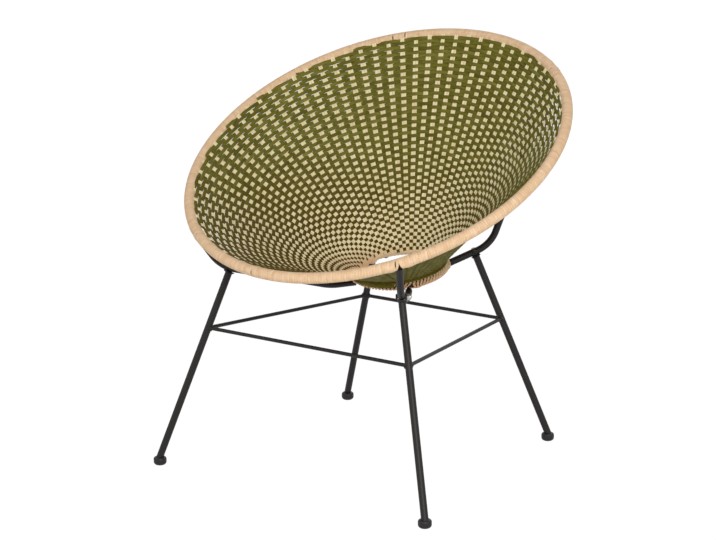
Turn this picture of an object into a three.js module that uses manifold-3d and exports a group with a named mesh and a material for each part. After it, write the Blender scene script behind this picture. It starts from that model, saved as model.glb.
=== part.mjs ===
// A round woven lounge chair: a funnel seat of interlaced strands between two steel hoops,
// on a steel frame of four bent arms, four splayed legs and four stretchers, bolted together.
// Millimetres, +Z up, +Y to the rear, with the origin on the floor under the middle of the rim.

import * as THREE from 'three';
import { mergeVertices } from 'three/addons/utils/BufferGeometryUtils.js';
import Module from 'manifold-3d';

// Round stock of the frame, and the fits between its pieces
const tubeRadius = 6.5;
const tubeWall = 1.5;
const fitGap = 0.3;
const cutOverrun = 5;
const ventRadius = 1.5;

// Rim hoop: the large ring, raised at the rear
const rimRadius = 355.2;
const rimHeight = 575.9;
const rimTiltDegrees = 28.3;

// Base hoop: the small ring round the hole at the bottom of the seat
const baseRadius = 85;
const baseHeight = 337.7;
const baseSetback = 75.1;
const baseTiltDegrees = 9.7;

// Bindings wound round both hoops
const bindingThickness = 3;

// Woven wall: it lies on the inner side of both bindings, and each pair of spoke strands makes a rib
const weaveStandoff = 8;
const panelThickness = 2;
const ribThickness = 5;
const spokeCount = 77;
const spokePairWidth = 11.2;
const spokeCrowdShare = 0.96;

// Arms: each is bent in one upright plane, from the base hoop out to a knee and up to the rim.
// The knee's reach is a share of the run from hoop to hoop, and its drop is below the woven wall.
const armSeatBite = 3.4;
const armEndRise = 3;
const armEndWall = 2;
const toeRadius = 120;
const frontArm = {
  rimAngleDegrees: -51.9,
  baseAngleDegrees: -45,
  baseDrop: 2 * tubeRadius + fitGap,
  toeRun: 50,
  kneeReachShare: 0.858,
  kneeDrop: 53.3,
  kneeRadius: 80,
  seatTurnDegrees: -21,
  bracketSetback: 18,
};
const rearArm = {
  rimAngleDegrees: 51,
  baseAngleDegrees: 38.4,
  baseDrop: 5.7,
  toeRun: 0,
  kneeReachShare: 0.4356,
  kneeDrop: 124.9,
  kneeRadius: 65,
  seatTurnDegrees: 0,
  bracketSetback: 30.6,
};

// The rim binding parts round each arm in a notch that narrows to a point above it
const notchClearance = 0.8;
const notchTipLength = 16;

// Legs, measured where each leg's axis crosses the top face of its foot cap
const frontFootHalfSpan = 293.5;
const frontFootForward = 284.4;
const rearFootHalfSpan = 233;
const rearFootBack = 225.3;
const legEmbed = 6;

// Foot caps
const capRadius = 12;
const capHeight = 15;
const capTopRound = 2.5;
const capBottomChamfer = 1.2;

// Stretchers
const stretcherRadius = 3;
const frontStretcherHeight = 258.4;
const rearStretcherHeight = 237.3;

// Leg brackets: a foot plate under the arm and one ear beside it
const bracketThickness = 2;
const bracketLength = 15;

// Bolts with button heads, and low domed cap nuts
const boltRadius = 3;
const boltHoleRadius = 3.3;
const boltHeadRadius = 5.25;
const boltHeadHeight = 3.3;
const boltSocketAcross = 4;
const boltSocketDepth = 2;
const nutAcrossFlats = 10;
const nutHexHeight = 5;
const nutDomeHeight = 4;
const nutDomeWall = 1.5;

// Facets
const hoopFacets = 10;
const hoopBoreFacets = 6;
const bindingFacets = 12;
const rimSegments = 48;
const baseSegments = 24;
const rodFacets = 10;
const boreFacets = 6;
const stretcherFacets = 8;
const kneeSteps = 5;
const toeSteps = 2;
const weaveRows = 2;
const roundSteps = 4;
const turnedFacets = 18;
const fastenerFacets = 12;
const hexFacets = 6;

const blackSteel = new THREE.MeshStandardMaterial({ color: '#2e2c2b', roughness: 0.5, metalness: 0.3 });
const naturalStrand = new THREE.MeshStandardMaterial({ color: '#dcb98f', roughness: 0.6, metalness: 0 });
const greenWeave = new THREE.MeshStandardMaterial({ color: '#66703a', roughness: 0.6, metalness: 0 });
const zincSteel = new THREE.MeshStandardMaterial({ color: '#9c9a97', roughness: 0.4, metalness: 0.9 });
const blackPlastic = new THREE.MeshStandardMaterial({ color: '#1f1f20', roughness: 0.6, metalness: 0 });

const rim = {
  radius: rimRadius,
  centre: new THREE.Vector3(0, 0, rimHeight),
  tilt: THREE.MathUtils.degToRad(rimTiltDegrees),
  bindingRadius: tubeRadius + fitGap + bindingThickness,
  segments: rimSegments,
};
const base = {
  radius: baseRadius,
  centre: new THREE.Vector3(0, baseSetback, baseHeight),
  tilt: THREE.MathUtils.degToRad(baseTiltDegrees),
  bindingRadius: tubeRadius + fitGap + bindingThickness,
  segments: baseSegments,
};

const wasm = await Module();
wasm.setup();

// A closed geometry as a solid, with shared corners merged and collapsed triangles dropped
function toSolid(geometry) {
  const bare = geometry.clone();
  bare.deleteAttribute('normal');
  bare.deleteAttribute('uv');
  const merged = mergeVertices(bare);
  const corners = merged.index.array;
  const kept = [];
  for (let i = 0; i < corners.length; i += 3) {
    const [a, b, c] = [corners[i], corners[i + 1], corners[i + 2]];
    if (a !== b && b !== c && c !== a) kept.push(a, b, c);
  }
  return new wasm.Manifold(new wasm.Mesh({
    numProp: 3,
    vertProperties: new Float32Array(merged.attributes.position.array),
    triVerts: new Uint32Array(kept),
  }));
}

function toGeometry(solid) {
  const { vertProperties, triVerts } = solid.getMesh();
  const geometry = new THREE.BufferGeometry();
  geometry.setAttribute('position', new THREE.BufferAttribute(vertProperties, 3));
  geometry.setIndex(new THREE.BufferAttribute(triVerts, 1));
  geometry.computeVertexNormals();
  return geometry;
}

function cut(geometry, cutters) {
  const solid = cutters.reduce((rest, cutter) => rest.subtract(toSolid(cutter)), toSolid(geometry));
  return toGeometry(solid);
}

function join(geometryA, geometryB) {
  return toGeometry(toSolid(geometryA).add(toSolid(geometryB)));
}

function named(name, geometry, material) {
  const mesh = new THREE.Mesh(geometry, material);
  mesh.name = name;
  return mesh;
}

// The point of a hoop's centre line at an angle from +X towards the rear
function hoopPoint(hoop, angle) {
  const across = hoop.radius * Math.sin(angle);
  const offset = new THREE.Vector3(
    hoop.radius * Math.cos(angle),
    across * Math.cos(hoop.tilt),
    across * Math.sin(hoop.tilt),
  );
  return offset.add(hoop.centre);
}

// A ring of round section laid along a hoop's centre line
function hoopRing(hoop, sectionRadius, facets) {
  const profile = [];
  for (let i = 0; i <= facets; i += 1) {
    const turn = 2 * Math.PI * (i % facets) / facets;
    profile.push(new THREE.Vector2(
      hoop.radius + sectionRadius * Math.cos(turn),
      sectionRadius * Math.sin(turn),
    ));
  }
  const ring = new THREE.LatheGeometry(profile, hoop.segments);
  ring.rotateX(Math.PI / 2);
  ring.rotateX(hoop.tilt);
  ring.translate(...hoop.centre);
  return ring;
}

// A centre line whose sections stand at chosen places, closer together in the bends
class SectionPath extends THREE.Curve {
  constructor(sections) {
    super();
    this.sections = sections;
  }

  getPoint(t) {
    const last = this.sections.length - 1;
    const place = THREE.MathUtils.clamp(t, 0, 1) * last;
    const index = Math.min(Math.floor(place), last - 1);
    return this.sections[index].clone().lerp(this.sections[index + 1], place - index);
  }

  getUtoTmapping(u) {
    return u;
  }
}

function rodAlong(sections, radius, facets) {
  const disc = new THREE.Shape();
  disc.absarc(0, 0, radius, 0, 2 * Math.PI);
  return new THREE.ExtrudeGeometry(disc, {
    curveSegments: facets / 2,
    steps: sections.length - 1,
    extrudePath: new SectionPath(sections),
  });
}

// Moves a run's two ends along its first and last stretch, outwards where the length is positive
function lengthened(sections, extra) {
  const last = sections.length - 1;
  const longer = sections.map((point) => point.clone());
  const startDirection = sections[0].clone().sub(sections[1]).normalize();
  const endDirection = sections[last].clone().sub(sections[last - 1]).normalize();
  longer[0].addScaledVector(startDirection, extra);
  longer[last].addScaledVector(endDirection, extra);
  return longer;
}

// Rounds one corner of a bent rod with an arc that meets both straight runs
function bend(before, corner, after, radius, steps) {
  const inward = corner.clone().sub(before).normalize();
  const outward = after.clone().sub(corner).normalize();
  const turn = inward.angleTo(outward);
  const toCentre = outward.clone().addScaledVector(inward, -outward.dot(inward)).normalize();
  const start = corner.clone().addScaledVector(inward, -radius * Math.tan(turn / 2));
  const centre = start.clone().addScaledVector(toCentre, radius);
  const points = [];
  for (let step = 0; step <= steps; step += 1) {
    const angle = turn * step / steps;
    const point = centre.clone().addScaledVector(toCentre, -radius * Math.cos(angle));
    points.push(point.addScaledVector(inward, radius * Math.sin(angle)));
  }
  return points;
}

// One arm's centre line and bracket seat, on the right for side 1 and mirrored for side -1
function layOutArm(arm, side) {
  const mirror = new THREE.Vector3(side, 1, 1);
  const baseAt = hoopPoint(base, THREE.MathUtils.degToRad(arm.baseAngleDegrees)).multiply(mirror);
  const rimAt = hoopPoint(rim, THREE.MathUtils.degToRad(arm.rimAngleDegrees)).multiply(mirror);
  const outward = new THREE.Vector3(rimAt.x - baseAt.x, rimAt.y - baseAt.y, 0);
  const reach = outward.length();
  outward.normalize();
  const inPlane = (distance, height) => new THREE.Vector3(baseAt.x, baseAt.y, height)
    .addScaledVector(outward, distance);

  const wallSlope = Math.atan2(rimAt.z - baseAt.z, reach);
  const seatAngle = wallSlope - Math.PI / 2 + THREE.MathUtils.degToRad(arm.seatTurnDegrees);
  const seatDistance = 2 * tubeRadius - armSeatBite;
  const rimSeat = inPlane(
    reach + seatDistance * Math.cos(seatAngle),
    rimAt.z + seatDistance * Math.sin(seatAngle),
  );
  const startHeight = baseAt.z - arm.baseDrop;
  const start = inPlane(0, startHeight);
  const kneeReach = reach * arm.kneeReachShare;
  const wallHeight = THREE.MathUtils.lerp(baseAt.z, rimAt.z, arm.kneeReachShare);
  const knee = inPlane(kneeReach, wallHeight - arm.kneeDrop);
  const toe = inPlane(arm.toeRun, startHeight);
  const end = rimSeat.clone().addScaledVector(rimSeat.clone().sub(knee).normalize(), armEndRise);
  const toeBend = arm.toeRun > 0 ? bend(start, toe, knee, toeRadius, toeSteps) : [];
  const kneeBend = bend(toe, knee, end, arm.kneeRadius, kneeSteps);
  const sections = [start, ...toeBend, ...kneeBend, end];

  const seat = bracketSeat(sections, kneeReach - arm.bracketSetback, outward);
  return { sections, rimAt, rimSeat, seat };
}

// Where the bracket sits on the arm: the arm's centre, its direction there and the bolt's direction
function bracketSeat(sections, wanted, outward) {
  const reachOf = (point) => point.clone().sub(sections[0]).dot(outward);
  const next = sections.findIndex((point) => reachOf(point) >= wanted);
  const [from, to] = [sections[next - 1], sections[next]];
  const share = (wanted - reachOf(from)) / (reachOf(to) - reachOf(from));
  const along = to.clone().sub(from).normalize();
  const point = from.clone().lerp(to, share);
  const level = new THREE.Vector3(-outward.y, outward.x, 0);
  const rearward = level.multiplyScalar(Math.sign(level.y));
  const up = new THREE.Vector3().crossVectors(rearward, along);
  if (up.z < 0) up.negate();
  return { point, along, rearward, up };
}

// Hoops: hollow, with a small vent where each arm is welded on
function hollowHoop(hoop, ventTowards) {
  const vents = ventTowards.map(([at, towards]) => rodAlong([at, towards], ventRadius, hexFacets));
  const bore = hoopRing(hoop, tubeRadius - tubeWall, hoopBoreFacets);
  return cut(hoopRing(hoop, tubeRadius, hoopFacets), [bore, ...vents]);
}

// Bindings: a sleeve of wound strand round a hoop, parted by the cutters that pass through it
function binding(hoop, partings) {
  const inside = hoopRing(hoop, tubeRadius + fitGap, hoopFacets);
  return cut(hoopRing(hoop, hoop.bindingRadius, bindingFacets), [inside, ...partings]);
}

// A blunt cutter round the end of an arm that narrows to a point beyond it
function notchCutter({ sections, rimSeat }) {
  const end = sections[sections.length - 1];
  const rise = end.clone().sub(sections[sections.length - 2]).normalize();
  const radius = tubeRadius + notchClearance;
  const depth = rim.bindingRadius + tubeRadius + cutOverrun;
  const profile = [
    new THREE.Vector2(0, -depth),
    new THREE.Vector2(radius, -depth),
    new THREE.Vector2(radius, armEndRise + notchClearance),
    new THREE.Vector2(0, armEndRise + notchTipLength),
  ];
  const cutter = new THREE.LatheGeometry(profile, rodFacets);
  cutter.applyQuaternion(new THREE.Quaternion().setFromUnitVectors(new THREE.Vector3(0, 1, 0), rise));
  cutter.translate(...rimSeat);
  return cutter;
}

// The direction of a hoop's centre line at an angle, as long as the hoop's radius
function hoopDirection(hoop, angle) {
  return hoopPoint(hoop, angle + Math.PI / 2).sub(hoop.centre);
}

// How far along the wall from a hoop's centre line the ribs come down on its binding,
// which lies a little inside the true circle in the middle of each of its straight facets
function seatedAt(hoop) {
  const facetSag = hoop.radius * (1 - Math.cos(Math.PI / hoop.segments));
  const reach = hoop.bindingRadius + facetSag + fitGap;
  const rise = Math.max(0, weaveStandoff - ribThickness / 2);
  return Math.sqrt(Math.max(0, reach ** 2 - rise ** 2));
}

// Half the width of one spoke's pair of strands at a hoop, where it must leave room for the next
function ribFoot(hoop) {
  const room = 2 * Math.PI * hoop.radius / spokeCount * spokeCrowdShare;
  return Math.min(spokePairWidth, room) / 2;
}

// Across one spoke: the turns at the rim and at the base of its rib's four edges from the
// middle of the spoke, and half the wall's thickness at each edge
function ribEdges() {
  const flank = (ribThickness - panelThickness) / 2;
  return [
    { side: -1, inset: 0, half: panelThickness / 2 },
    { side: -1, inset: flank, half: ribThickness / 2 },
    { side: 1, inset: flank, half: ribThickness / 2 },
    { side: 1, inset: 0, half: panelThickness / 2 },
  ].map(({ side, inset, half }) => ({
    half,
    rimTurn: side * (ribFoot(rim) - inset) / rim.radius,
    baseTurn: side * (ribFoot(base) - inset) / base.radius,
  }));
}

// The woven wall: thin panels ruled from hoop to hoop between the ribs that the spokes make
function wovenWall() {
  const positions = [];
  const corners = [];
  const ringSize = 2 * (weaveRows + 1);
  const edges = ribEdges();
  const columns = spokeCount * edges.length;
  for (let column = 0; column < columns; column += 1) {
    const edge = edges[column % edges.length];
    const spokeAngle = 2 * Math.PI * Math.floor(column / edges.length) / spokeCount;
    const [rimAngle, baseAngle] = [spokeAngle + edge.rimTurn, spokeAngle + edge.baseTurn];
    const top = hoopPoint(rim, rimAngle);
    const bottom = hoopPoint(base, baseAngle);
    const down = bottom.clone().sub(top);
    const [from, to] = [seatedAt(rim) / down.length(), 1 - seatedAt(base) / down.length()];
    const faces = [[], []];
    for (let row = 0; row <= weaveRows; row += 1) {
      const share = THREE.MathUtils.lerp(from, to, row / weaveRows);
      const around = hoopDirection(rim, rimAngle).lerp(hoopDirection(base, baseAngle), share);
      const outwards = new THREE.Vector3().crossVectors(down, around).normalize();
      const middle = top.clone().lerp(bottom, share).addScaledVector(outwards, -weaveStandoff);
      faces[0].push(middle.clone().addScaledVector(outwards, edge.half));
      faces[1].unshift(middle.clone().addScaledVector(outwards, -edge.half));
    }
    for (const point of [...faces[0], ...faces[1]]) positions.push(...point);
    const next = (column + 1) % columns;
    for (let j = 0; j < ringSize; j += 1) {
      const jNext = (j + 1) % ringSize;
      const [a, b] = [column * ringSize + j, column * ringSize + jNext];
      const [c, d] = [next * ringSize + j, next * ringSize + jNext];
      corners.push(a, b, c, c, b, d);
    }
  }
  const geometry = new THREE.BufferGeometry();
  geometry.setAttribute('position', new THREE.Float32BufferAttribute(positions, 3));
  geometry.setIndex(corners);
  geometry.computeVertexNormals();
  return geometry;
}

// Arms: tube welded shut at both ends, bored for the bolt, and shaped to the two hoops
function armTube({ sections, seat }) {
  const core = rodAlong(lengthened(sections, -armEndWall), tubeRadius - tubeWall, boreFacets);
  const boltBore = rodAlong([
    seat.point.clone().addScaledVector(seat.rearward, -tubeRadius - cutOverrun),
    seat.point.clone().addScaledVector(seat.rearward, tubeRadius + cutOverrun),
  ], boltHoleRadius, rodFacets);
  const rimClearance = hoopRing(rim, tubeRadius + fitGap, hoopFacets);
  const baseClearance = hoopRing(base, tubeRadius + fitGap, hoopFacets);
  const blank = rodAlong(sections, tubeRadius, rodFacets);
  return cut(blank, [core, boltBore, rimClearance, baseClearance]);
}

// The line of one leg, from inside its foot cap up to the centre of the arm that it carries
function layOutLeg(footX, footY, seat) {
  const entry = new THREE.Vector3(footX, footY, capHeight);
  const up = seat.point.clone().sub(entry).normalize();
  const bottom = entry.clone().addScaledVector(up, -legEmbed);
  const atHeight = (height) => entry.clone().addScaledVector(up, (height - capHeight) / up.z);
  return { entry, up, bottom, atHeight, seat };
}

function legTube({ bottom, seat }) {
  const plateDepth = tubeRadius + 2 * fitGap + bracketThickness;
  const blank = rodAlong([bottom, seat.point], tubeRadius, rodFacets);
  const bore = rodAlong(lengthened([bottom, seat.point], cutOverrun), tubeRadius - tubeWall, boreFacets);
  const above = seat.point.clone().addScaledVector(seat.up, tubeRadius + cutOverrun);
  const below = seat.point.clone().addScaledVector(seat.up, -plateDepth);
  const trim = rodAlong([below, above], 2 * (tubeRadius + cutOverrun), rodFacets);
  return cut(blank, [bore, trim]);
}

// The bracket in its own axes: X along the arm, Y towards the nut and Z up from the arm's centre
function bracketGeometry() {
  const half = bracketLength / 2;
  const earFace = tubeRadius + fitGap;
  const plateTop = -tubeRadius - fitGap;
  const plateBottom = plateTop - bracketThickness;
  const earOutline = new THREE.Shape();
  earOutline.moveTo(-half, plateBottom);
  earOutline.lineTo(half, plateBottom);
  earOutline.lineTo(half, 0);
  earOutline.absarc(0, 0, half, 0, Math.PI);
  earOutline.lineTo(-half, plateBottom);
  const boltHole = new THREE.Path();
  boltHole.absarc(0, 0, boltHoleRadius, 0, 2 * Math.PI);
  earOutline.holes.push(boltHole);
  const ear = new THREE.ExtrudeGeometry(earOutline, {
    depth: bracketThickness,
    bevelEnabled: false,
    curveSegments: roundSteps,
  });
  ear.rotateX(Math.PI / 2);
  ear.translate(0, earFace + bracketThickness, 0);
  const plateWidth = tubeRadius + earFace + bracketThickness;
  const plate = new THREE.BoxGeometry(bracketLength, plateWidth, bracketThickness);
  plate.translate(0, plateWidth / 2 - tubeRadius, (plateTop + plateBottom) / 2);
  return join(ear, plate);
}

// A turned profile closed on its axis, laid along +Y
function turned(profile, facets) {
  return new THREE.LatheGeometry(profile.map(([radius, along]) => new THREE.Vector2(radius, along)), facets);
}

function boltGeometry() {
  const underHead = -tubeRadius - fitGap;
  const tip = tubeRadius + fitGap + bracketThickness + nutHexHeight;
  const headTop = underHead - boltHeadHeight;
  const shoulder = boltHeadHeight / 2;
  const crown = [];
  for (let step = 0; step <= roundSteps; step += 1) {
    const angle = Math.PI / 2 * step / roundSteps;
    const radius = boltSocketAcross + (boltHeadRadius - boltSocketAcross) * Math.sin(angle);
    crown.push([radius, headTop + shoulder * (1 - Math.cos(angle))]);
  }
  const blank = turned([
    [0, headTop],
    ...crown,
    [boltHeadRadius, underHead],
    [boltRadius, underHead],
    [boltRadius, tip],
    [0, tip],
  ], fastenerFacets);
  const socketRadius = boltSocketAcross / 2 / Math.cos(Math.PI / hexFacets);
  const socket = new THREE.CylinderGeometry(socketRadius, socketRadius, 2 * boltSocketDepth, hexFacets);
  socket.translate(0, headTop, 0);
  return cut(blank, [socket]);
}

function nutGeometry() {
  const inner = tubeRadius + 2 * fitGap + bracketThickness;
  const cornerRadius = nutAcrossFlats / 2 / Math.cos(Math.PI / hexFacets);
  const hex = new THREE.CylinderGeometry(cornerRadius, cornerRadius, nutHexHeight, hexFacets);
  hex.translate(0, inner + nutHexHeight / 2, 0);
  const domeRadius = nutAcrossFlats / 2 - fitGap;
  const crown = [];
  for (let step = 0; step <= roundSteps; step += 1) {
    const angle = Math.PI / 2 * step / roundSteps;
    crown.push([domeRadius * Math.cos(angle), inner + nutHexHeight + nutDomeHeight * Math.sin(angle)]);
  }
  crown[roundSteps][0] = 0;
  const domeFoot = inner + nutHexHeight / 2;
  const dome = turned([[0, domeFoot], [domeRadius, domeFoot], ...crown], fastenerFacets);
  const boreTop = inner + nutHexHeight + nutDomeHeight - nutDomeWall;
  const bore = turned([
    [0, inner - cutOverrun],
    [boltHoleRadius, inner - cutOverrun],
    [boltHoleRadius, inner + nutHexHeight],
    [0, boreTop],
  ], fastenerFacets);
  return cut(join(hex, dome), [bore]);
}

// A foot cap with a blind socket in line with its leg
function capGeometry({ entry, up, bottom }) {
  const profile = [[0, 0], [capRadius - capBottomChamfer, 0], [capRadius, capBottomChamfer]];
  for (let step = 0; step <= roundSteps; step += 1) {
    const angle = Math.PI / 2 * step / roundSteps;
    profile.push([
      capRadius - capTopRound * (1 - Math.cos(angle)),
      capHeight - capTopRound * (1 - Math.sin(angle)),
    ]);
  }
  profile.push([0, capHeight]);
  const cap = turned(profile, turnedFacets);
  cap.rotateX(Math.PI / 2);
  cap.translate(entry.x, entry.y, 0);
  const socketFloor = bottom.clone().addScaledVector(up, -fitGap);
  const socketMouth = entry.clone().addScaledVector(up, capRadius);
  return cut(cap, [rodAlong([socketFloor, socketMouth], tubeRadius + fitGap, rodFacets)]);
}

function stretcherGeometry(legA, legB, heightA, heightB) {
  const ends = [legA.atHeight(heightA), legB.atHeight(heightB)];
  const cope = (leg, height) => rodAlong([
    leg.atHeight(height - tubeRadius - cutOverrun),
    leg.atHeight(height + tubeRadius + cutOverrun),
  ], tubeRadius + fitGap, rodFacets);
  return cut(rodAlong(ends, stretcherRadius, stretcherFacets), [cope(legA, heightA), cope(legB, heightB)]);
}

// Axes of a bracket seat, for what is modelled in the arm's own axes
function seatRotation({ along, rearward, up }) {
  const side = Math.sign(new THREE.Vector3().crossVectors(rearward, up).dot(along));
  const handed = along.clone().multiplyScalar(side);
  return new THREE.Quaternion().setFromRotationMatrix(new THREE.Matrix4().makeBasis(handed, rearward, up));
}

const corners = {
  front_left: { arm: frontArm, side: -1, foot: [-frontFootHalfSpan, -frontFootForward] },
  front_right: { arm: frontArm, side: 1, foot: [frontFootHalfSpan, -frontFootForward] },
  rear_left: { arm: rearArm, side: -1, foot: [-rearFootHalfSpan, rearFootBack] },
  rear_right: { arm: rearArm, side: 1, foot: [rearFootHalfSpan, rearFootBack] },
};
for (const corner of Object.values(corners)) {
  corner.armLine = layOutArm(corner.arm, corner.side);
  corner.legLine = layOutLeg(...corner.foot, corner.armLine.seat);
}
const armLines = Object.values(corners).map((corner) => corner.armLine);

const chair = new THREE.Group();
const seatBasket = new THREE.Group();
const legFrame = new THREE.Group();
chair.add(seatBasket, legFrame);

const rimVents = armLines.map(({ rimAt, rimSeat }) => [rimAt, rimSeat]);
const baseVents = armLines.map(({ sections }) => {
  const at = sections[0].clone().sub(base.centre);
  const angle = Math.atan2(at.y / Math.cos(base.tilt), at.x);
  const centre = hoopPoint(base, angle);
  return [centre, new THREE.Vector3(centre.x, centre.y, centre.z - 2 * tubeRadius)];
});
seatBasket.add(named('rim_hoop', hollowHoop(rim, rimVents), blackSteel));
seatBasket.add(named('rim_binding', binding(rim, armLines.map(notchCutter)), naturalStrand));
seatBasket.add(named('base_hoop', hollowHoop(base, baseVents), blackSteel));
const baseNotches = armLines.map(({ sections }) => (
  rodAlong(lengthened(sections, cutOverrun), tubeRadius + notchClearance, rodFacets)));
seatBasket.add(named('base_binding', binding(base, baseNotches), naturalStrand));
seatBasket.add(named('woven_seat', wovenWall(), greenWeave));

const bracket = bracketGeometry();
const bolt = boltGeometry();
const nut = nutGeometry();
for (const [place, { armLine, legLine }] of Object.entries(corners)) {
  seatBasket.add(named(`arm_${place}`, armTube(armLine), blackSteel));
  legFrame.add(named(`leg_${place}`, legTube(legLine), blackSteel));
  legFrame.add(named(`foot_cap_${place}`, capGeometry(legLine), blackPlastic));
  const joint = new THREE.Group();
  joint.position.copy(armLine.seat.point);
  joint.quaternion.copy(seatRotation(armLine.seat));
  joint.add(named(`leg_bracket_${place}`, bracket, blackSteel));
  joint.add(named(`bolt_${place}`, bolt, blackSteel));
  joint.add(named(`cap_nut_${place}`, nut, zincSteel));
  legFrame.add(joint);
}

const legs = Object.fromEntries(Object.entries(corners).map(([place, corner]) => [place, corner.legLine]));
const stretchers = [
  ['stretcher_front', legs.front_left, legs.front_right, frontStretcherHeight, frontStretcherHeight],
  ['stretcher_rear', legs.rear_left, legs.rear_right, rearStretcherHeight, rearStretcherHeight],
  ['stretcher_left', legs.front_left, legs.rear_left, frontStretcherHeight, rearStretcherHeight],
  ['stretcher_right', legs.front_right, legs.rear_right, frontStretcherHeight, rearStretcherHeight],
];
for (const [name, ...run] of stretchers) {
  legFrame.add(named(name, stretcherGeometry(...run), blackSteel));
}

export default chair;
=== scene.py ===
"""A round woven lounge chair: real strands, windings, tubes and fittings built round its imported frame."""

import math

import bpy
import numpy as np
from mathutils import Matrix, Vector


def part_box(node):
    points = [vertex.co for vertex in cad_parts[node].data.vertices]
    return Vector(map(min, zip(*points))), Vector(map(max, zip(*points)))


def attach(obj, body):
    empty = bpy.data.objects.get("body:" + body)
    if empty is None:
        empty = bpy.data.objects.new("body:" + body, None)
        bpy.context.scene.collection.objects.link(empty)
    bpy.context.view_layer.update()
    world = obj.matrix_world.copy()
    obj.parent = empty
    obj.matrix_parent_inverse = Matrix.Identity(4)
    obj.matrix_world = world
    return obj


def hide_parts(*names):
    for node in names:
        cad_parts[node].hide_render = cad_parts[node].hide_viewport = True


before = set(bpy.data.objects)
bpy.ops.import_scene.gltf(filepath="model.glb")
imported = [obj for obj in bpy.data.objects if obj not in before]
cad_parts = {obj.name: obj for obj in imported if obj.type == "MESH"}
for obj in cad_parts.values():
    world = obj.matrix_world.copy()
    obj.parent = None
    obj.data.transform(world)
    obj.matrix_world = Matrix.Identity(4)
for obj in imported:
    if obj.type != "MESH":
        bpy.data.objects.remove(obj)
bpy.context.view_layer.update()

MM = 0.001
TURN = 2 * math.pi

# Round stock, fits and bends, as the frame has them, but the stretchers are a little thicker, as they look
TUBE_RADIUS = 6.5 * MM
STRETCHER_RADIUS = 3.4 * MM
FIT_GAP = 0.3 * MM
ARM_SEAT_BITE = 3.4 * MM
ARM_END_RISE = 3 * MM
TOE_RADIUS = 120 * MM
FRONT_ARM = {
    "rim_angle": -51.9, "base_angle": -45, "base_drop": 13.3 * MM, "toe_run": 50 * MM,
    "knee_share": 0.858, "knee_drop": 53.3 * MM, "knee_radius": 80 * MM,
    "seat_turn": -31, "bracket_setback": 18 * MM, "ear_drop": 0,
}
REAR_ARM = {
    "rim_angle": 51, "base_angle": 38.4, "base_drop": 5.7 * MM, "toe_run": 0,
    "knee_share": 0.4356, "knee_drop": 124.9 * MM, "knee_radius": 65 * MM,
    "seat_turn": 0, "bracket_setback": 30.6 * MM, "ear_drop": 3.4 * MM,
}
# Each corner's arm and its side, where its leg stands and how high the stretchers meet it
CORNERS = {
    "front_left": (FRONT_ARM, -1, (-293.5 * MM, -284.4 * MM), 258.4 * MM),
    "front_right": (FRONT_ARM, 1, (293.5 * MM, -284.4 * MM), 258.4 * MM),
    "rear_left": (REAR_ARM, -1, (-233 * MM, 225.3 * MM), 237.3 * MM),
    "rear_right": (REAR_ARM, 1, (233 * MM, 225.3 * MM), 237.3 * MM),
}
STRETCHERS = {
    "front": ("front_left", "front_right"),
    "rear": ("rear_left", "rear_right"),
    "left": ("front_left", "rear_left"),
    "right": ("front_right", "rear_right"),
}
BEND_STEPS = 20
HOOP_STEPS = 240
TUBE_POINTS = 32
LEG_EMBED = 6 * MM
LEG_STATIONS = 12
LEG_STATION_MARGIN = 20 * MM
STRETCHER_EMBED = 2.5 * MM
WELD_FILLET = 2.8 * MM
WELD_STEPS = 6
WELD_EMBED = 0.2 * MM

# Foot caps, brackets, bolts and cap nuts
CAP_RADIUS = 12 * MM
CAP_HEIGHT = 15 * MM
CAP_SHOULDER = 4.2 * MM
CAP_BOTTOM_ROUND = 6 * MM
CAP_BOTTOM_STEPS = 7
CAP_RECESS_FROM_SIDE = 7 * MM
CAP_RECESS_EDGE = 0.4 * MM
CAP_RECESS_DEPTH = 0.3 * MM
CAP_MOUTH_GAP = 1.2 * MM
CAP_MOUTH_EDGE = 0.1 * MM
CAP_MOUTH_DEPTH = 0.6 * MM
CAP_POINTS = 48
BRACKET_THICKNESS = 2 * MM
BRACKET_LENGTH = 15 * MM
BRACKET_EDGE = 0.4 * MM
EAR_STEPS = 17
BOLT_RADIUS = 3 * MM
BOLT_HEAD_RADIUS = 5.25 * MM
BOLT_HEAD_HEIGHT = 3.3 * MM
BOLT_HEAD_SIDE = 0.5 * MM
BOLT_CROWN_FLAT_SHARE = 0.8
BOLT_EDGE = 0.2 * MM
BOLT_SOCKET_ACROSS = 4 * MM
BOLT_SOCKET_DEPTH = 2 * MM
BOLT_SOCKET_EDGE = 0.25 * MM
NUT_ACROSS_FLATS = 10 * MM
NUT_HEX_HEIGHT = 5 * MM
NUT_FACE_SHARE = 0.98
NUT_CHAMFER = 0.7 * MM
NUT_DOME_HEIGHT = 4 * MM
NUT_DOME_SHARE = 0.9
NUT_TIP_RADIUS = 0.15 * MM
ROUND_STEPS = 9
TURNED_POINTS = 36
# The smallest ring of a cap, which closes it at its axis
AXIS_RING = 0.3 * MM

# Weave: it lies on the inner side of both hoops
WALL_STANDOFF = 8 * MM
SPOKE_COUNT = 77
SPOKE_PAIR_AT_RIM = 8.4 * MM
SPOKE_PAIR_WIDTH = 11.2 * MM
SPOKE_PAIR_TAPER = 3 * MM
SPOKE_OPENS_FROM = 18 * MM
SPOKE_OPENS_UNTIL = 42 * MM
SPOKE_SPACING_SHARE = 0.97
SPOKE_THICKNESS = 2 * MM
SPOKE_CRIMP_AT_RIM = 0.15 * MM
SPOKE_CRIMP_AT_BASE = 0.7 * MM
SPOKE_RISE_AT_BASE = 0.6 * MM
SPOKE_SPREAD_AT_BASE = 0.06
SPOKE_FIRST = 2 * MM
SPOKE_FACE_POINTS = 5
SPOKE_STEPS_PER_ROW = 4
WEFT_PITCH = 6.8 * MM
WEFT_WIDTH = 7.2 * MM
WEFT_THICKNESS = 1.6 * MM
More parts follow.
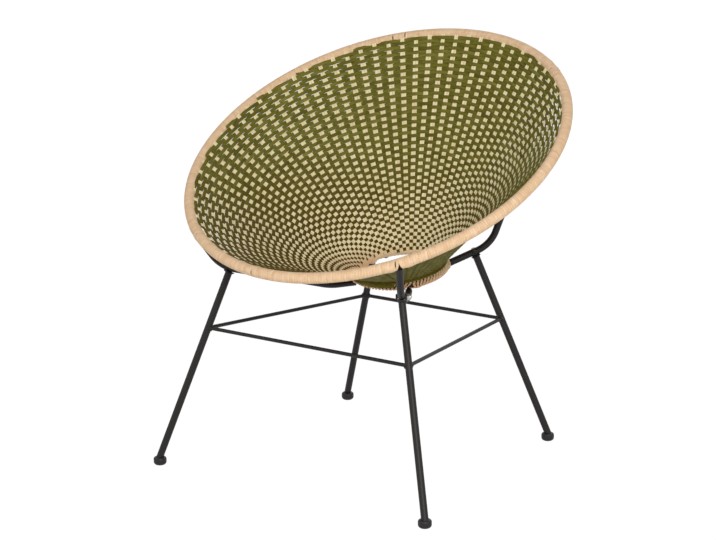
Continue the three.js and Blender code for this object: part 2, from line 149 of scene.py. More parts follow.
# Points round a weft, and how full its two sides and its two faces are
WEFT_OUTLINE = (8, 0.55, 0.85)
WEFT_CRIMP = 1.75 * MM
WEFT_CRIMP_SHARE_AT_RIM = 0.55
WEFT_FROM_RIM = 4.6 * MM
WEFT_PAST_BASE = 3 * MM
WEFT_STEPS_PER_SPOKE = 8
LEVEL_ROW_SHARE = 0.52
WEAVE_PAST_BASE = 0.3 * WEFT_PITCH
# From and to which share of the wall's height what marks the rows by the base hoop sets in
NEAR_BASE = (2 / 3, 1)
WEFT_PINCH_AT_SIDES = 0.05
WEFT_PINCH_UNTIL_SHARE = 0.5
WEFT_PINCH_OVER_SPOKES = 0.09
WEFT_PINCH_AT_BASE = 0.08
WEFT_SPREAD_OUTSIDE = 0.3
WEFT_SPREAD_IN_FRONT = 0.55
WEFT_SPREAD_POWER = 0.6
# The part of the outside that shows is at the front right. A larger breadth takes in more of it
FRONT_RIGHT = math.radians(-55)
FRONT_BREADTH = 1.7
# Rows on the spokes' turn round the base hoop: where round its section, and between which angles along it
LOCKING_ROWS = ((262, -150, -62), (298, -180, 180))
LOCKING_ROW_RISE = 1.5 * MM
WEAVE_SECTORS = ("right", "rear", "left", "front")
WEFT_BANDS = ("upper", "middle", "lower", "lowest")

# The spokes' turn round the base hoop, slanting as it climbs on the outside. A pair gives from and to which
# share of the turn something sets in
WRAP_TURN = math.radians(338)
WRAP_STEPS = 36
WRAP_LEAVES_WALL = (1 / 6, 1 / 3)
WRAP_SLANT = 15 * MM
WRAP_SLANTS = (0.3, 1)
WRAP_NARROWER = 0.3
WRAP_NARROWS = (0.2, 8 / 15)
WRAP_TUCK = 0.8 * MM
WRAP_TUCKS = (0.8, 1)

# Winding round the rim. The outline is in shares of half the strand's width and thickness
RIM_WINDING_RADIUS = 9.8 * MM
RIM_STRAND_WIDTH = 5 * MM
RIM_STRAND_HALF_SHARE = 0.51
RIM_STRAND_THICKNESS = 1.5 * MM
RIM_STRAND_OUTLINE = np.array([
    [-1, -0.9], [-1, 0.15], [-0.82, 0.8], [0, 1], [0.82, 0.8], [1, 0.15], [1, -0.9],
])
RIM_TURN_STEPS = 22

# What parts the strands on a hoop: half the gap, how far along the hoop they are pushed, how far round the
# section the gap is whole and over how much more it fades, and how high they pile up beside it
BASE_ARM_GAP = {
    "half_gap": 6.5 * MM, "reach": 24 * MM, "full": math.radians(20), "fade": math.radians(55),
    "lift": 1.8 * MM,
}
BASE_PILE = {
    "half_gap": 0, "reach": 22 * MM, "full": math.radians(20), "fade": math.radians(60),
    "lift": 5 * MM,
}
RIM_ARM_GAP = {
    "half_gap": 7.4 * MM, "reach": 26 * MM, "full": math.radians(10), "fade": math.radians(150),
    "lift": 1.6 * MM,
}
RIM_JOIN_GAP = {
    "half_gap": 1.3 * MM, "reach": 10 * MM, "full": math.radians(20), "fade": math.radians(50),
    "lift": 0,
}
ARM_WAY_SAMPLE = 10 * MM
# Where the strands pile up, on the base hoop's left and low on its inner side, and where one strand of the
# rim's winding ends and the next begins: degrees along the hoop and round its section
BASE_PILE_AT = (171, 245)
RIM_JOINS_AT = ((-125.2, 54), (-96.5, 18), (115, 142), (111.3, 118), (49.4, 114), (-52.9, 38))

# Camera: a long lens some four metres away, at the photograph's angle
CAMERA_PLACE = (2.2462, -3.1987, 1.3510)
CAMERA_AZIMUTH = 35.58
CAMERA_ELEVATION = 14.37
CAMERA_ROLL = -0.77
SENSOR_WIDTH = 36
FOCAL_LENGTH_PIXELS = 2200
PICTURE_WIDTH_PIXELS = 716

# White ground and soft lamps: where each lamp stands, its size in metres and its power in watts
FLOOR_REACH = 12
AIR_STRENGTH = 0.25
PAPER_GLOW = 1.05
PAPER_GLOW_SHARE = 0.96
LAMPS = {
    "key_softbox": ((2.9, -2.9, 2.2), 1.8, 135),
    "fill_softbox": ((-1.6, -3.4, 2.4), 2.2, 28),
    "back_softbox": ((-1.2, 3.6, 2.0), 2.4, 26),
}
LAMPS_AIM = Vector((0, 0, 0.5))

# Surface patterns
BAKE_MARGIN = 0.05
STREAK_SIZE = 40 * MM
GROOVE_LENGTH = 25 * MM
GROOVE_PITCH = 0.7 * MM
GROOVE_DEPTH = 0.15 * MM
DRIFT_PER_WIDTH = 0.9
# Where the dark and the light colour stand on a noise that keeps near its middle
DARK_AT, LIGHT_AT = 0.36, 0.64
# How far up a face looks where the painted shade on the upward faces begins, and where it is whole
SHADE_FACING_UP = (-0.25, 0.15)


def linear(hex_colour):
    """An sRGB hex colour as linear RGBA."""
    shares = [int(hex_colour[i:i + 2], 16) / 255 for i in (1, 3, 5)]
    return tuple(c / 12.92 if c <= 0.04045 else ((c + 0.055) / 1.055) ** 2.4 for c in shares) + (1,)


def add(tree, kind, links=None, values=None, **settings):
    """Adds one shader node. Links and values are given by input.

    A setting is an attribute, or an input's value where no attribute has its name.
    """
    node = tree.nodes.new(kind)
    for name, value in settings.items():
        if hasattr(node, name):
            setattr(node, name, value)
        else:
            node.inputs[name.replace("_", " ")].default_value = value
    for place_in, value in (values or {}).items():
        node.inputs[place_in].default_value = value
    for place_in, source in (links or {}).items():
        tree.links.new(source, node.inputs[place_in])
    return node


def new_material(name):
    """An empty material and its node tree."""
    material = bpy.data.materials.new(name)
    material.use_nodes = True
    material.node_tree.nodes.clear()
    return material, material.node_tree


def read_hoop(node):
    """A hoop's centre, radius and tilt, from the box of its CAD node."""
    low, high = (np.array(corner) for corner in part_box(node))
    half = (high - low) / 2 - TUBE_RADIUS
    return {"centre": (low + high) / 2, "radius": half[0], "tilt": math.atan2(half[2], half[1])}


rim = read_hoop("rim_hoop")
base = read_hoop("base_hoop")


def unit(vectors):
    return vectors / np.linalg.norm(vectors, axis=-1, keepdims=True)


def eased(values, start=0, end=1):
    """From 0 at start to 1 at end, level at both."""
    shares = np.clip((values - start) / (end - start), 0, 1)
    return shares * shares * (3 - 2 * shares)


def turn_between(turns_a, turns_b):
    """The shorter way round from one turn to another."""
    return (turns_a - turns_b + math.pi) % TURN - math.pi


def hoop_points(hoop, angles):
    """Points of a hoop's centre line, at angles from +X towards the rear."""
    sideways, rearward = hoop["radius"] * np.cos(angles), hoop["radius"] * np.sin(angles)
    offsets = (sideways, rearward * math.cos(hoop["tilt"]), rearward * math.sin(hoop["tilt"]))
    return hoop["centre"] + np.stack(np.broadcast_arrays(*offsets), -1)


def hoop_angle(hoop, point):
    """The angle along a hoop that is nearest to a point."""
    away = (point - hoop["centre"]) * [1, 1 / math.cos(hoop["tilt"]), 0]
    return math.atan2(away[1], away[0])


def ring_frame(hoop, angles):
    """At angles along a hoop: its centre line, the way out from its middle, its axis and the way along."""
    centres = hoop_points(hoop, angles)
    outward = unit(centres - hoop["centre"])
    along = unit(hoop_points(hoop, angles + math.pi / 2) - hoop["centre"])
    axis = np.cross(outward, along)
    return centres, outward, axis, along


def section_turn_of(hoop, angle, direction):
    """Where a direction points round a hoop's section: 0 is away from its middle, a quarter turn is up."""
    _, outward, axis, _ = ring_frame(hoop, angle)
    return math.atan2(direction @ axis, direction @ outward)


def wall_lengths(angles):
    """The woven wall's height along its slope, from the rim to the base hoop."""
    return np.linalg.norm(hoop_points(base, angles) - hoop_points(rim, angles), axis=-1)


def wall(angles, metres):
    """Points of the woven wall, so far down from the rim, and the ways down it, along its rows and inward.

    Past its end the wall curls on round the base hoop.
    """
    lengths = wall_lengths(angles)
    top, bottom = hoop_points(rim, angles), hoop_points(base, angles)
    shares = np.clip(metres / lengths, None, 1)[..., None]
    rim_way = hoop_points(rim, angles + math.pi / 2) - rim["centre"]
    base_way = hoop_points(base, angles + math.pi / 2) - base["centre"]
    down = unit(bottom - top)
    around = rim_way * (1 - shares) + base_way * shares
    inward = unit(np.cross(around, down))
    curl = np.clip((metres - lengths) / WALL_STANDOFF, 0, None)[..., None]
    curled = inward * np.cos(curl) + down * np.sin(curl)
    down = down * np.cos(curl) - inward * np.sin(curl)
    points = top * (1 - shares) + bottom * shares + curled * WALL_STANDOFF
    return points, down, np.cross(down, curled), curled


def rings_along(points, sideways, outward, section):
    """Sections along a line. The section is a closed outline of (sideways, outward) shares."""
    across, over = section[:, 0, None], section[:, 1, None]
    return points[:, None] + across * sideways[:, None] + over * outward[:, None]


def lofts_mesh(name, lofts, closed, crease_degrees):
    """One mesh of closed skins, each over its own array of rings.

    A closed one joins its last ring to its first, and the others get flat ends. The bake map lays each skin
    out as a strip of its own. The lay map holds metres along and round the skin.
    """
    vertices, quads, caps, strips, lays = [], [], [], [], []
    offset = 0
    strip = 1 / len(lofts)
    for number, rings in enumerate(lofts):
        count, around = rings.shape[:2]
        spans = count if closed else count - 1
        vertices.append(rings.reshape(-1, 3))
        row, column = np.arange(spans)[:, None], np.arange(around)
        next_row, next_column = (row + 1) % count, (column + 1) % around
        quads.append(offset + np.stack([
            row * around + column, row * around + next_column,
            next_row * around + next_column, next_row * around + column,
        ], -1).reshape(-1, 4))
        middles = rings.mean(axis=1)
        steps = np.linalg.norm(np.roll(middles, -1, axis=0) - middles, axis=1)[:spans]
        metres = np.concatenate([[0], np.cumsum(steps)])
        ring = rings[count // 2]
        girth = np.linalg.norm(np.roll(ring, -1, axis=0) - ring, axis=1).sum()
        share_round = np.arange(around + 1) / around
        strip_round = (number + BAKE_MARGIN + (1 - 2 * BAKE_MARGIN) * share_round) * strip
        for corners, along, round_it in (
            (strips, metres / max(metres[-1], MM), strip_round),
            (lays, metres, number + girth * share_round),
        ):
            u_low, u_high = (np.broadcast_to(u[:, None], (spans, around)) for u in (along[:-1], along[1:]))
            v_low, v_high = (np.broadcast_to(v, (spans, around)) for v in (round_it[:-1], round_it[1:]))
            corners.append(np.stack([
                np.stack([u_low, u_low, u_high, u_high], -1), np.stack([v_low, v_high, v_high, v_low], -1),
            ], -1).reshape(-1, 2))
        if not closed:
            caps.append(offset + np.arange(around)[::-1])
            caps.append(offset + (count - 1) * around + np.arange(around))
        offset += count * around
    vertices, quads = np.concatenate(vertices), np.concatenate(quads)
    corner_list = np.concatenate([quads.ravel()] + caps)
    cap_sizes = np.array([len(cap) for cap in caps], dtype=int)
    starts = np.concatenate([np.arange(len(quads)) * 4, quads.size + np.cumsum(cap_sizes) - cap_sizes])
    mesh = bpy.data.meshes.new(name)
    mesh.vertices.add(len(vertices))
    mesh.vertices.foreach_set("co", vertices.astype(np.float32).ravel())
    mesh.loops.add(len(corner_list))
    mesh.loops.foreach_set("vertex_index", corner_list.astype(np.int32))
    mesh.polygons.add(len(starts))
    mesh.polygons.foreach_set("loop_start", starts.astype(np.int32))
    mesh.update(calc_edges=True)
    mesh.validate()
    for map_name, corners in (("OFBake", strips), ("lay", lays)):
        cap_places = np.zeros((len(corner_list) - quads.size, 2))
        layout = np.concatenate(corners + [cap_places])
        mesh.uv_layers.new(name=map_name).data.foreach_set("uv", layout.astype(np.float32).ravel())
    mesh.shade_smooth()
    if crease_degrees:
        mesh.set_sharp_from_angle(angle=math.radians(crease_degrees))
    return mesh


def place(name, lofts, material, slot, *nodes, closed=False, crease_degrees=None):
    """Makes a piece of its lofts and puts it on the frame, in its finish, instead of its CAD nodes."""
    piece = bpy.data.objects.new(name, lofts_mesh(name, lofts, closed, crease_degrees))
    bpy.context.scene.collection.objects.link(piece)
    piece.data.materials.append(material)
    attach(piece, "root")
    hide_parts(*nodes)


def spoke_outline():
    """A spoke strand's flat back and crowned face, as shares of half its width and thickness."""
    turns = np.linspace(0, math.pi, SPOKE_FACE_POINTS)
    face = np.stack([-np.cos(turns), np.sin(turns) ** 0.6], -1)
    face[[0, -1], 1] = -0.35
    back = np.array([[0.8, -1.0], [-0.8, -1.0]])
    return np.concatenate([face, back])


def oval_outline(points_round, side_power=1, face_power=1):
    """An oval outline. A power below 1 makes it fuller towards its sides or its two faces."""
    turns = np.arange(points_round) / points_round * TURN
    across, over = np.cos(turns), np.sin(turns)
    return np.stack([
        np.sign(across) * np.abs(across) ** side_power,
        np.sign(over) * np.abs(over) ** face_power,
    ], -1)


def row_places(angles, shares):
    """Which weft row passes a place: whole at a row's middle, and a row further each time round."""
    return (shares - LEVEL_ROW_SHARE) * wall_lengths(angles) / WEFT_PITCH - angles / TURN


def arm_parting(hoop, at, towards, gap):
    """The gap round an arm that leaves a hoop at one point towards another."""
    angle = hoop_angle(hoop, at)
    centre = hoop_points(hoop, angle)
    return {"angle": angle, "section_turn": section_turn_of(hoop, angle, towards - centre), **gap}


def parting_at(degrees, gap):
    """A gap at degrees along a hoop and round its section."""
    angle, section_turn = np.radians(degrees)
    return {"angle": angle, "section_turn": section_turn, **gap}


def pushed_aside(away, side, turn_gap, parting):
    """How far a strand is pushed along a hoop, and lifted off it, by what stands against the hoop.

    away is the strand's distance along the hoop, side which side it passes on, and turn_gap its distance
    round the section. The strands pile up a little where they crowd together beside the gap.
    """
    weight = np.clip(1 - (np.abs(turn_gap) - parting["full"]) / parting["fade"], 0, 1) ** 2
    clear = np.maximum(side * away, 0)
    near = np.clip(1 - clear / parting["reach"], 0, 1)
    push = side * (clear + parting["half_gap"] * near) - away
    crowding = np.exp(-((clear - parting["reach"] / 2) / (parting["reach"] / 3)) ** 2)
    return push * weight, parting["lift"] * crowding * weight


def spoke_runs(numbers, partings):
    """Pairs of strands side by side down the wall, and on round the base hoop to its outside."""
    runs = []
    outline = spoke_outline()
    for number in numbers:
        angle = TURN * number / SPOKE_COUNT
        length = wall_lengths(angle)
        wall_steps = int(length / WEFT_PITCH * SPOKE_STEPS_PER_ROW)
        metres = np.concatenate([
            np.linspace(SPOKE_FIRST, length, wall_steps),
            length + WALL_STANDOFF * WRAP_TURN * np.linspace(0, 1, WRAP_STEPS + 1)[1:],
        ])
        angles = np.full(len(metres), angle)
        shares = np.clip(metres / length, 0, 1)
        on_wall = np.minimum(metres, length)
        to_next = wall(angles + TURN / SPOKE_COUNT, on_wall)[0] - wall(angles, on_wall)[0]
        opened = eased(metres, SPOKE_OPENS_FROM, SPOKE_OPENS_UNTIL)
        pair = SPOKE_PAIR_AT_RIM + (SPOKE_PAIR_WIDTH - SPOKE_PAIR_AT_RIM) * opened
        pair = np.minimum(pair - SPOKE_PAIR_TAPER * shares,
                          np.linalg.norm(to_next, axis=-1) * SPOKE_SPACING_SHARE)
        phase = np.cos(math.pi * (row_places(angles, metres / length) + number))
        weave_end = length + WEAVE_PAST_BASE
        woven = 1 - eased(metres, weave_end, weave_end + WEFT_PITCH)
        crimp = SPOKE_CRIMP_AT_RIM + (SPOKE_CRIMP_AT_BASE - SPOKE_CRIMP_AT_RIM) * eased(shares)
        depth = (SPOKE_RISE_AT_BASE * eased(shares) - crimp * phase) * woven
        spread = 1 - SPOKE_SPREAD_AT_BASE * phase * woven * eased(shares, *NEAR_BASE)
        wrapped = np.clip((metres - length) / (WALL_STANDOFF * WRAP_TURN), 0, 1)
        spread = spread * (1 - WRAP_NARROWER * eased(wrapped, *WRAP_NARROWS))
        depth = depth - WRAP_TUCK * eased(wrapped, *WRAP_TUCKS)
        slant = WRAP_SLANT * eased(wrapped, *WRAP_SLANTS)
        inward_at_base = wall(angles, metres)[3][wall_steps - 1]
        turns = section_turn_of(base, angle, inward_at_base) + WRAP_TURN * wrapped
        for side in (-1, 1):
            shift = side * pair / 4 * spread
            hoop_angles = angle + slant / base["radius"]
            lift = np.zeros(len(metres))
            for parting in partings:
                away = turn_between(hoop_angles, parting["angle"]) * base["radius"] + shift
                turn_gap = turn_between(turns, parting["section_turn"])
                passing = wall_steps + int(np.argmin(np.abs(turn_gap[wall_steps:])))
                push, raised = pushed_aside(away, math.copysign(1, away[passing]), turn_gap, parting)
                in_reach = np.abs(away[passing]) < 2 * parting["reach"]
                off_wall = eased(wrapped, *WRAP_LEAVES_WALL) * in_reach
                hoop_angles = hoop_angles + push * off_wall / base["radius"]
                lift = lift + raised * off_wall
            points, _, along, inward = wall(hoop_angles, metres + wall_lengths(hoop_angles) - length)
            points = points + along * shift[:, None] + inward * (depth + lift)[:, None]
            half_width = along * (pair / 4 * spread)[:, None]
            runs.append(rings_along(points, half_width, inward * (SPOKE_THICKNESS / 2), outline))
    return runs


def weft_runs():
    """The weft's rows, climbing as one spiral, passing inside and outside of the spokes by turns."""
    runs = []
    outline = oval_outline(*WEFT_OUTLINE)
    all_angles = np.linspace(0, TURN, SPOKE_COUNT * WEFT_STEPS_PER_SPOKE + 1)
    lengths = wall_lengths(all_angles)
    most_rows = int(lengths.max() / WEFT_PITCH) + 1
    nearest_hoop = TUBE_RADIUS + WEFT_THICKNESS / 2
    for row in range(-most_rows, most_rows):
        all_shares = LEVEL_ROW_SHARE + (row + all_angles / TURN) * WEFT_PITCH / lengths
        all_metres, all_from_base = all_shares * lengths, (1 - all_shares) * lengths
        shown = (all_metres > WEFT_FROM_RIM) & (all_from_base > -WEFT_PAST_BASE)
        edges = np.flatnonzero(np.diff(np.concatenate([[0], shown.astype(int), [0]])))
        for start, end in edges.reshape(-1, 2):
            if end - start < 2 * WEFT_STEPS_PER_SPOKE:
                continue
            angles, shares = all_angles[start:end], all_shares[start:end]
            metres, from_base = all_metres[start:end], all_from_base[start:end]
            points, down, _, inward = wall(angles, metres)
            wave = np.sin(math.pi / 2 * np.cos(math.pi * SPOKE_COUNT * (row + angles / TURN)))
            off_rim = eased(metres, WEFT_FROM_RIM, WEFT_FROM_RIM + 2 * WEFT_PITCH)
            crimp_share = WEFT_CRIMP_SHARE_AT_RIM + (1 - WEFT_CRIMP_SHARE_AT_RIM) * off_rim
            above_hoop = np.clip(from_base, 0, None)
            hoop_room = np.sqrt(np.clip(nearest_hoop ** 2 - above_hoop ** 2, 0, None)) - WALL_STANDOFF
            depth = np.maximum(WEFT_CRIMP * wave * crimp_share, hoop_room)
            beside = np.abs(np.cos(angles))
            in_front = eased(FRONT_BREADTH * np.cos(angles - FRONT_RIGHT))
            pinch = WEFT_PINCH_AT_SIDES * beside * (1 - eased(shares, 0, WEFT_PINCH_UNTIL_SHARE))
            over_spoke = WEFT_PINCH_OVER_SPOKES + WEFT_PINCH_AT_BASE * eased(shares, *NEAR_BASE)
            pinch = pinch + over_spoke * np.clip(wave, 0, None) ** 2
            spread = WEFT_SPREAD_OUTSIDE * (1 - beside) + WEFT_SPREAD_IN_FRONT * in_front
            spread = spread * np.clip(-wave, 0, None) ** WEFT_SPREAD_POWER
            half_width = WEFT_WIDTH * (1 - pinch + spread) / 2
            runs.append(rings_along(points + inward * depth[:, None], -down * half_width[:, None],
                                    inward * (WEFT_THICKNESS / 2), outline))
    return runs


def locking_runs():
    """The last rows of the weft, on the spokes' turn round the base hoop."""
    runs = []
    outline = oval_outline(*WEFT_OUTLINE)
    for number, (turn, from_angle, to_angle) in enumerate(LOCKING_ROWS):
        angles = np.radians(np.linspace(from_angle, to_angle, SPOKE_COUNT * WEFT_STEPS_PER_SPOKE // 2))
        points, down, _, inward = wall(angles, wall_lengths(angles) + WALL_STANDOFF * math.radians(turn))
        wave = np.cos(SPOKE_COUNT * angles + math.pi * number)
        points = points + inward * (LOCKING_ROW_RISE + WEFT_THICKNESS / 4 * wave)[:, None]
        runs.append(rings_along(points, -down * (WEFT_WIDTH / 2), inward * (WEFT_THICKNESS / 2), outline))
    return runs


def rim_winding_run(turns, partings):
    """One strand wound round the rim, parted round the arms and where strands end."""
    count = turns * RIM_TURN_STEPS
    places = np.arange(count + 1)
    section_turns = TURN * places / RIM_TURN_STEPS
    angles = TURN * places / count
    lift = np.zeros(count + 1)
    shift = np.zeros(count + 1)
    for parting in partings:
        whole_turn = np.round((section_turns - parting["section_turn"]) / TURN)
        turn_angle = TURN * (whole_turn + parting["section_turn"] / TURN) / turns
        away = turn_between(turn_angle, parting["angle"]) * rim["radius"]
        turn_gap = turn_between(section_turns, parting["section_turn"])
        push, raised = pushed_aside(away, np.where(away < 0, -1, 1), turn_gap, parting)
        shift = shift + push
        lift = lift + raised
    centres, outward, axis, along = ring_frame(rim, angles + shift / rim["radius"])
    lean = outward * np.cos(section_turns)[:, None] + axis * np.sin(section_turns)[:, None]
    middle = centres + lean * (RIM_WINDING_RADIUS - RIM_STRAND_THICKNESS / 2 + lift)[:, None]
    half_width = along * RIM_STRAND_WIDTH * RIM_STRAND_HALF_SHARE
    return rings_along(middle, half_width, lean * RIM_STRAND_THICKNESS / 2, RIM_STRAND_OUTLINE)


def hoop_tube(hoop):
    """A hoop's bare tube, all the way round."""
    angles = np.arange(HOOP_STEPS) / HOOP_STEPS * TURN
    centres, outward, axis, _ = ring_frame(hoop, angles)
    return rings_along(centres, outward * TUBE_RADIUS, axis * TUBE_RADIUS, oval_outline(TUBE_POINTS))


def arc(before, corner, after, radius):
    """Points of a bend that rounds one corner of a tube."""
    inward, outward = unit(corner - before), unit(after - corner)
    turn = math.acos(inward @ outward)
    to_centre = unit(outward - inward * (outward @ inward))
    start = corner - inward * radius * math.tan(turn / 2)
    turns = np.linspace(0, turn, BEND_STEPS)[:, None]
    return start + to_centre * radius * (1 - np.cos(turns)) + inward * radius * np.sin(turns)


def lay_out_arm(arm, side):
    """An arm's centre line, and where it meets the rim and carries its leg, as the frame has them."""
    mirror = np.array([side, 1, 1])
    base_at = hoop_points(base, math.radians(arm["base_angle"])) * mirror
    rim_at = hoop_points(rim, math.radians(arm["rim_angle"])) * mirror
    outward = (rim_at - base_at) * [1, 1, 0]
    reach = np.linalg.norm(outward)
    outward = outward / reach

    def in_plane(distance, height):
        return np.array([base_at[0], base_at[1], height]) + outward * distance

    rise = rim_at[2] - base_at[2]
    seat_angle = math.atan2(rise, reach) - math.pi / 2 + math.radians(arm["seat_turn"])
    seat_distance = 2 * TUBE_RADIUS - ARM_SEAT_BITE
    rim_seat = in_plane(reach + seat_distance * math.cos(seat_angle),
                        rim_at[2] + seat_distance * math.sin(seat_angle))
    start_height = base_at[2] - arm["base_drop"]
    start = in_plane(0, start_height)
    knee_reach = reach * arm["knee_share"]
    knee = in_plane(knee_reach, base_at[2] + rise * arm["knee_share"] - arm["knee_drop"])
    toe = in_plane(arm["toe_run"], start_height)
    end = rim_seat + unit(rim_seat - knee) * ARM_END_RISE
    toe_bend = [arc(start, toe, knee, TOE_RADIUS)] if arm["toe_run"] else []
    line = np.concatenate([start[None], *toe_bend, arc(toe, knee, end, arm["knee_radius"]), end[None]])

    reaches = (line - start) @ outward
    wanted = knee_reach - arm["bracket_setback"]
    seat_point = np.array([np.interp(wanted, reaches, line[:, i]) for i in range(3)])
    after = int(np.searchsorted(reaches, wanted))
    along = unit(line[after] - line[after - 1])
    level = np.array([-outward[1], outward[0], 0])
    rearward = level * np.sign(level[1])
    up = np.cross(rearward, along)
    up = up if up[2] > 0 else -up
    return {
        "line": line, "level": level, "rim_at": rim_at, "rim_seat": rim_seat,
        "seat": seat_point, "along": np.cross(rearward, up), "rearward": rearward, "up": up,
        "ear_drop": arm["ear_drop"],
    }


def rod_rings(line, radii, level):
    """A round rod's sections along a line across level. radii is one, or one for each point."""
    ways = unit(np.gradient(line, axis=0))
    radii = np.broadcast_to(radii, len(line))[:, None]
    sideways = np.broadcast_to(level, line.shape) * radii
    return rings_along(line, sideways, np.cross(level, ways) * radii, oval_outline(TUBE_POINTS))


def straight_rod(start, end, stations, radii):
    """A round rod between two points, with its own radius at each station, in metres from the start."""
    way = unit(end - start)
    return rod_rings(start + way * stations[:, None], radii, unit(np.cross(way, [0, 0, 1])))


def fillet(radius):
    """Distances from a weld's foot, and the rod's radii there, down to its own radius."""
    shares = np.linspace(0, 1, WELD_STEPS)
    return WELD_FILLET * shares, radius + WELD_FILLET * (1 - np.sqrt(1 - (1 - shares) ** 2))


def in_seat(points, arm):
    """From a bracket's own axes, X along the arm, Y towards the nut and Z up, to the chair's."""
    axes = np.stack([arm["along"], arm["rearward"], arm["up"]])
    return arm["seat"] + points @ axes


def turned_rings(profile, outlines=None, points_round=TURNED_POINTS):
    """Rings of a turned piece about Y, from (radius, along) pairs.

    outlines says how far each ring is a hexagon, whose radius is then across its flats.
    """
    turns = np.arange(points_round) / points_round * TURN
    hexagon = 1 / np.cos((turns % (TURN / 6)) - TURN / 12)
    rings = []
    for number, (radius, along) in enumerate(profile):
        outline = outlines[number] if outlines else 0
        radii = radius * (1 + (hexagon - 1) * outline)
        level = np.full(points_round, along)
        rings.append(np.stack([radii * np.cos(turns), level, -radii * np.sin(turns)], -1))
    return np.stack(rings)


def bolt_lofts(arm):
    """A button-head bolt with a hexagon socket in its crown."""
    under_head = -TUBE_RADIUS - FIT_GAP
    top = under_head - BOLT_HEAD_HEIGHT
    tip = TUBE_RADIUS + FIT_GAP + BRACKET_THICKNESS + NUT_HEX_HEIGHT
    socket = BOLT_SOCKET_ACROSS / 2
    flat = BOLT_SOCKET_ACROSS * BOLT_CROWN_FLAT_SHARE
    profile = [(socket, top + BOLT_SOCKET_DEPTH), (socket, top + BOLT_EDGE),
               (socket + BOLT_SOCKET_EDGE, top)]
    outlines = [1, 1, 0.5]
    for turn in np.linspace(0, math.pi / 2, ROUND_STEPS):
        profile.append((flat + (BOLT_HEAD_RADIUS - flat) * math.sin(turn),
                        top + (BOLT_HEAD_HEIGHT - BOLT_HEAD_SIDE) * (1 - math.cos(turn))))
        outlines.append(0)
    profile += [(BOLT_HEAD_RADIUS, under_head - BOLT_EDGE), (BOLT_HEAD_RADIUS - BOLT_EDGE, under_head),
                (BOLT_RADIUS, under_head), (BOLT_RADIUS, tip)]
    outlines += [0, 0, 0, 0]
    return [in_seat(turned_rings(profile, outlines), arm)]


def nut_lofts(arm):
    """A cap nut: a hexagon with chamfered corners, and a dome on it."""
    inner = TUBE_RADIUS + 2 * FIT_GAP + BRACKET_THICKNESS
    outer = inner + NUT_HEX_HEIGHT
    half = NUT_ACROSS_FLATS / 2
    face, dome = half * NUT_FACE_SHARE, half * NUT_DOME_SHARE
    profile = [(face, inner), (half, inner + NUT_CHAMFER), (half, outer - NUT_CHAMFER), (face, outer)]
    outlines = [0, 1, 1, 0]
    for turn in np.linspace(0, math.pi / 2, ROUND_STEPS):
        radius = max(dome * math.cos(turn), NUT_TIP_RADIUS)
        profile.append((radius, outer + NUT_DOME_HEIGHT * math.sin(turn)))
        outlines.append(0)
    return [in_seat(turned_rings(profile, outlines), arm)]


def slab_rings(outline, axis, low, high):
    """A flat plate with small round edges. The outline is in the two axes that the plate lies in."""
    inset = outline + unit(outline.mean(axis=0) - outline) * BRACKET_EDGE
    rings = []
    for points, place_at in ((inset, low), (outline, low + BRACKET_EDGE),
                             (outline, high - BRACKET_EDGE), (inset, high)):
        rings.append(np.insert(points, axis, place_at, axis=1))
    return np.stack(rings)


def bracket_lofts(arm):
    """A leg's bracket: the plate under the arm and the ear with a round top beside it."""
    half = BRACKET_LENGTH / 2
    face = TUBE_RADIUS + FIT_GAP
    turns = np.linspace(0, math.pi, EAR_STEPS)
    ear = np.concatenate([
        np.stack([half * np.cos(turns), half * np.sin(turns) - arm["ear_drop"]], -1),
        [[-half, -face - BRACKET_THICKNESS], [half, -face - BRACKET_THICKNESS]],
    ])
    plate = np.array([[-half, -TUBE_RADIUS], [half, -TUBE_RADIUS], [half, face], [-half, face]])
    return [
        in_seat(slab_rings(ear, 1, face, face + BRACKET_THICKNESS), arm),
        in_seat(slab_rings(plate, 2, -face - BRACKET_THICKNESS, -face), arm),
    ]


def lay_out_leg(foot, stretcher_height, arm):
    """A leg's way up from its cap, its ends and where the stretchers meet it."""
    entry = np.array([foot[0], foot[1], CAP_HEIGHT])
    way = unit(arm["seat"] - entry)
    plate_under = TUBE_RADIUS + FIT_GAP + BRACKET_THICKNESS
    top = arm["seat"] - way * (plate_under / (way @ arm["up"]))
    stretchers_at = entry + way * ((stretcher_height - CAP_HEIGHT) / way[2])
    return {"way": way, "bottom": entry - way * LEG_EMBED, "top": top, "stretchers_at": stretchers_at}


def leg_lofts(leg, arm):
    """A leg's tube, cut to lie flat under its bracket, with the weld round its top."""
    length = np.linalg.norm(leg["top"] - leg["bottom"])
    rises, radii = fillet(TUBE_RADIUS)
    along_leg = np.linspace(LEG_STATION_MARGIN, length - LEG_STATION_MARGIN, LEG_STATIONS)
    stations = np.concatenate([[0], along_leg, length - rises[::-1]])
    rings = straight_rod(leg["bottom"], leg["top"], stations,
                         np.concatenate([np.full(LEG_STATIONS + 1, TUBE_RADIUS), radii[::-1]]))
    steepness = leg["way"] @ arm["up"]
    tail = slice(-WELD_STEPS, None)
    above = (rings[tail] - leg["top"]) @ arm["up"]
    back = (stations[tail] - length)[:, None] * steepness
    rings[tail] = rings[tail] - leg["way"] * ((above - back) / steepness)[..., None]
    return [rings]


